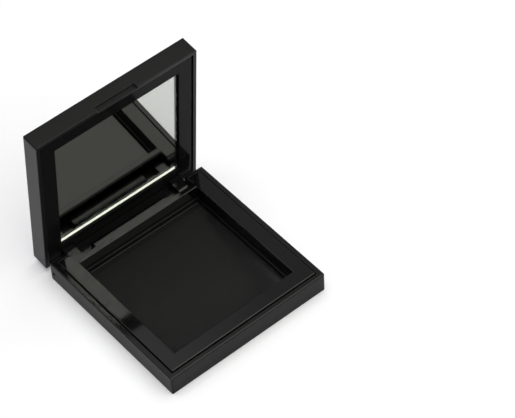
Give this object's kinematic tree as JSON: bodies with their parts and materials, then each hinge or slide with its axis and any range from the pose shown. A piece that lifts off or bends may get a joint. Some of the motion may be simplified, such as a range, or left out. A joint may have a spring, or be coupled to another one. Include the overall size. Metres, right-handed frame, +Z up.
{
  "type": "mirrored compact case",
  "caption": "Square black makeup compact with a shallow pan well inside a raised glossy rim, and a mirrored lid that swings on short pins at the rear.",
  "frame": {"origin": "middle of the flat underside of the base", "axes": "+Z up, +X along the hinge pins to the user's right, +Y from the thumb notch side to the hinge side"},
  "size_m": [0.065, 0.0746, 0.0675],
  "materials": {
    "case_black": "black moulded plastic with a fine satin gloss",
    "frame_black": "black moulded plastic, high gloss",
    "mirror_glass": "flat glass, silvered on the back",
    "tape_white": "thin double-sided adhesive sheet",
    "pin_steel": "drawn steel wire, cut and chamfered"
  },
  "bodies": {
    "base": {"base_shell": "case_black", "pan_frame": "frame_black", "hinge_pin_left": "pin_steel", "hinge_pin_right": "pin_steel"},
    "lid": {"lid_shell": "case_black", "mirror_frame": "frame_black", "mirror": "mirror_glass", "mirror_tape": "tape_white"}
  },
  "joints": [
    {"name": "lid_hinge", "type": "hinge", "parent": "base", "child": "lid", "pos_m": [0, 0.0305, 0.0037], "axis": [-1, 0, 0], "range_deg": [-84.5, 13.5]}
  ]
}
